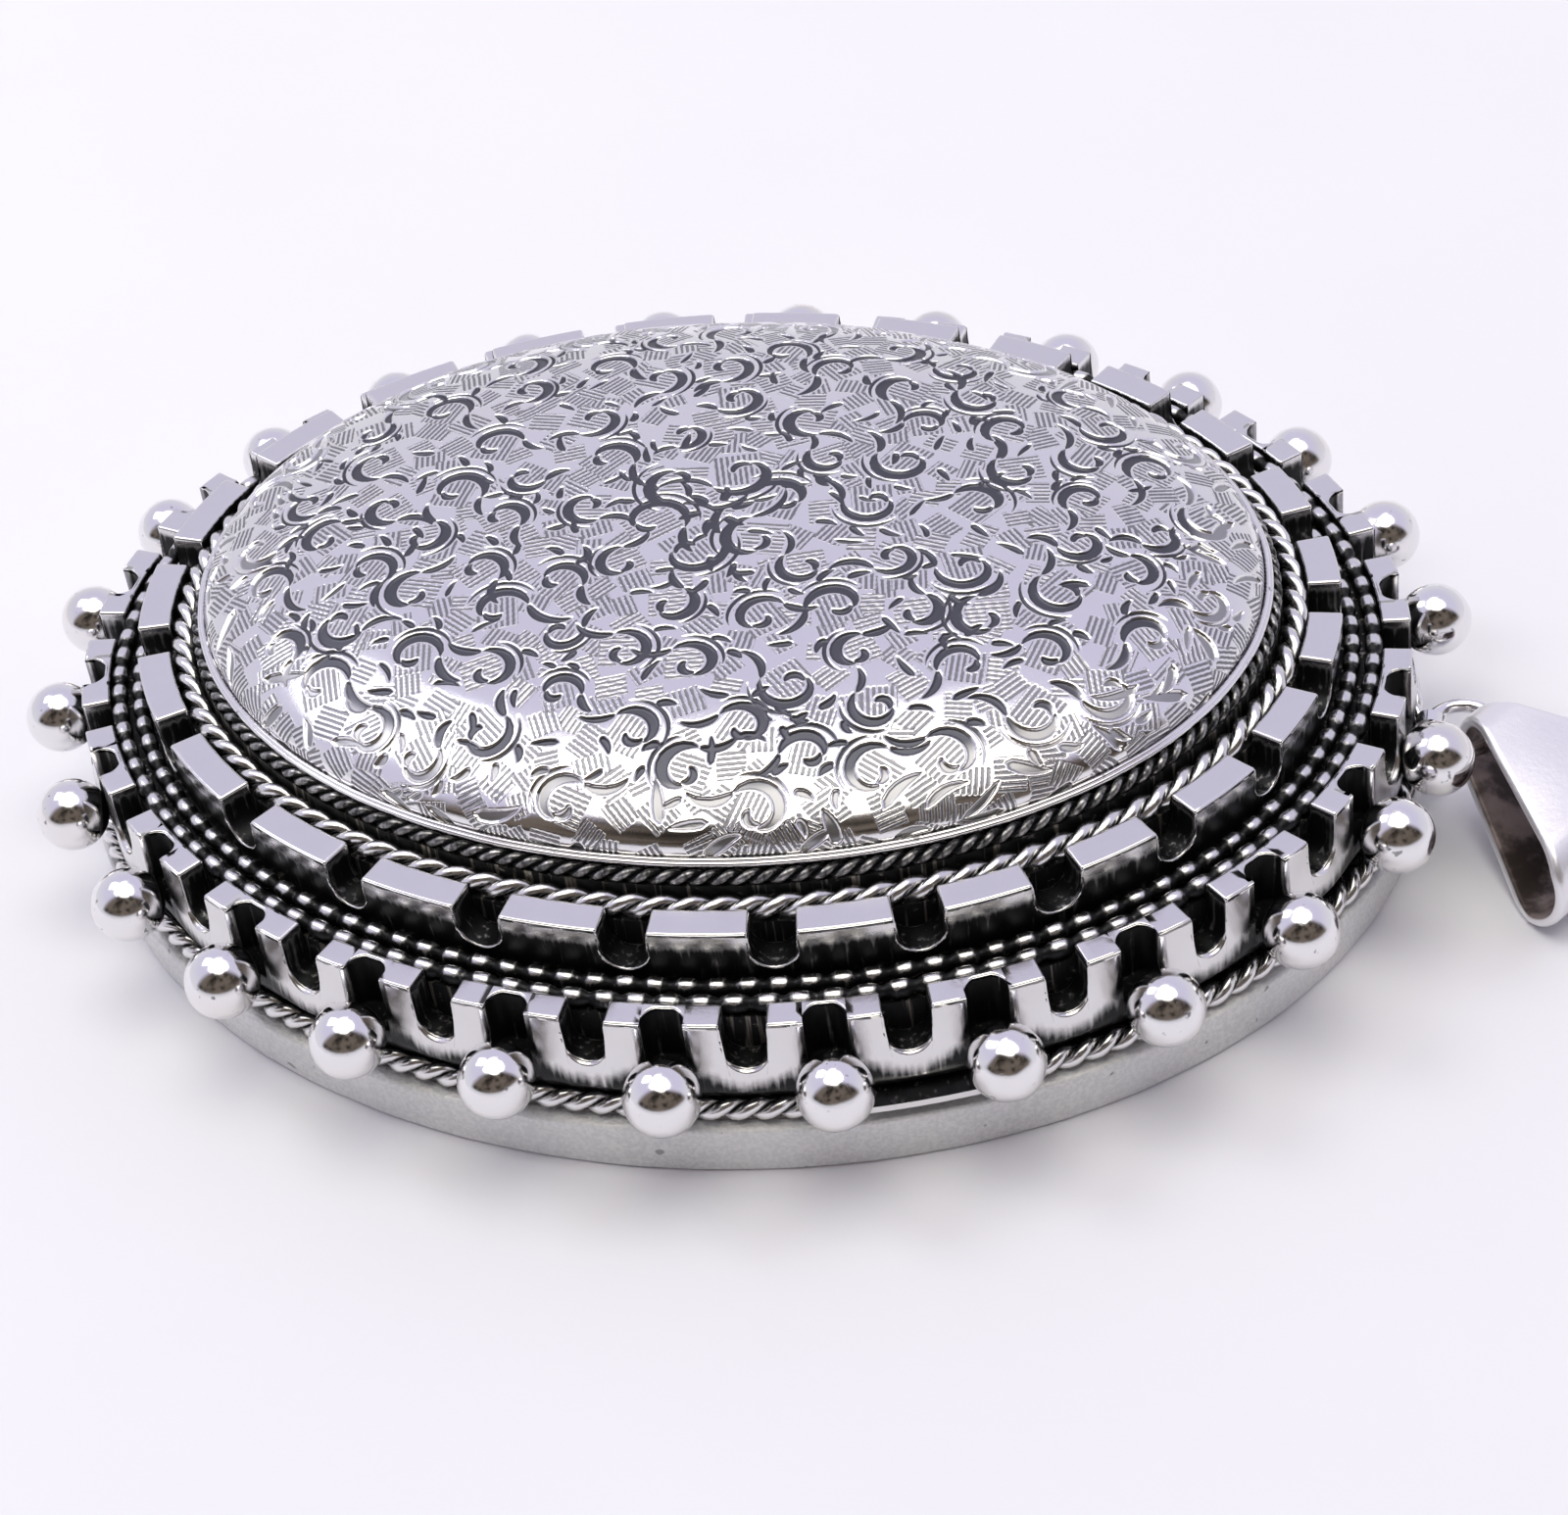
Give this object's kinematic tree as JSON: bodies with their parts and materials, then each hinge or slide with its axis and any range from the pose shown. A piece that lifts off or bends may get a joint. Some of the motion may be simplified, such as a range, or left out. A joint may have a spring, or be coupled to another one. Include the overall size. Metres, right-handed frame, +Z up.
{
  "type": "pill box",
  "caption": "Oval silver pendant pill box: flat back dish, hinged lid with engraved dome in two notched galleries, rope and beaded wires, a row of balls, and a folded bail on a jump ring.",
  "frame": {"origin": "on the flat back, under the middle of the oval", "axes": "+X towards the bail, +Y towards the hinge, +Z up through the dome"},
  "size_m": [0.0566, 0.0414, 0.0112],
  "materials": {
    "polished_silver": "hand-polished silver with small dents",
    "satin_silver": "satin silver with fine scuffs",
    "oxidised_silver": "silver, blackened in the recesses and bright on the edges",
    "engraved_silver": "bright-cut scroll engraving with darkened cuts"
  },
  "bodies": {
    "case": {"back_plate": "satin_silver", "side_band": "satin_silver", "case_rim": "satin_silver", "inner_bezel": "satin_silver", "catch_bead": "satin_silver", "case_knuckle_left": "oxidised_silver", "case_knuckle_right": "oxidised_silver", "hinge_pin": "polished_silver", "bail_eye": "oxidised_silver"},
    "lid": {"lid_rim": "oxidised_silver", "lower_collar": "oxidised_silver", "middle_plate": "oxidised_silver", "upper_collar": "oxidised_silver", "upper_plate": "oxidised_silver", "dome_seat": "oxidised_silver", "dome": "engraved_silver", "outer_beaded_wire": "oxidised_silver", "inner_beaded_wire": "oxidised_silver", "inner_rope_wire": "oxidised_silver", "fine_rope_wire": "oxidised_silver", "dome_bezel": "polished_silver", "outer_rope_wire": "oxidised_silver", "nail_lip": "polished_silver", "outer_gallery": "oxidised_silver", "inner_gallery": "oxidised_silver", "lid_knuckle": "oxidised_silver", "ball_01": "polished_silver", "ball_02": "polished_silver", "ball_03": "polished_silver", "ball_04": "polished_silver", "ball_05": "polished_silver", "ball_06": "polished_silver", "ball_07": "polished_silver", "ball_08": "polished_silver", "ball_09": "polished_silver", "ball_10": "polished_silver", "ball_11": "polished_silver", "ball_12": "polished_silver", "ball_13": "polished_silver", "ball_14": "polished_silver", "ball_15": "polished_silver", "ball_16": "polished_silver", "ball_17": "polished_silver", "ball_18": "polished_silver", "ball_19": "polished_silver", "ball_20": "polished_silver", "ball_21": "polished_silver", "ball_22": "polished_silver", "ball_23": "polished_silver", "ball_24": "polished_silver", "ball_25": "polished_silver", "ball_26": "polished_silver"},
    "ring": {"jump_ring": "polished_silver"},
    "bail": {"bail": "polished_silver"}
  },
  "joints": [
    {"name": "lid_hinge", "type": "hinge", "parent": "case", "child": "lid", "pos_m": [0, 0.01965, 0.00193], "axis": [-1, 0, 0], "range_deg": [0, 105]},
    {"name": "ring_swing", "type": "hinge", "parent": "case", "child": "ring", "pos_m": [0.0231, 0.0007, 0.003], "axis": [0, -1, 0], "range_deg": [-25, 30]},
    {"name": "bail_swing", "type": "hinge", "parent": "ring", "child": "bail", "pos_m": [0.02511, 0.00008, 0.003], "axis": [-0.5592, -0.829, 0], "range_deg": [-20, 20]}
  ]
}
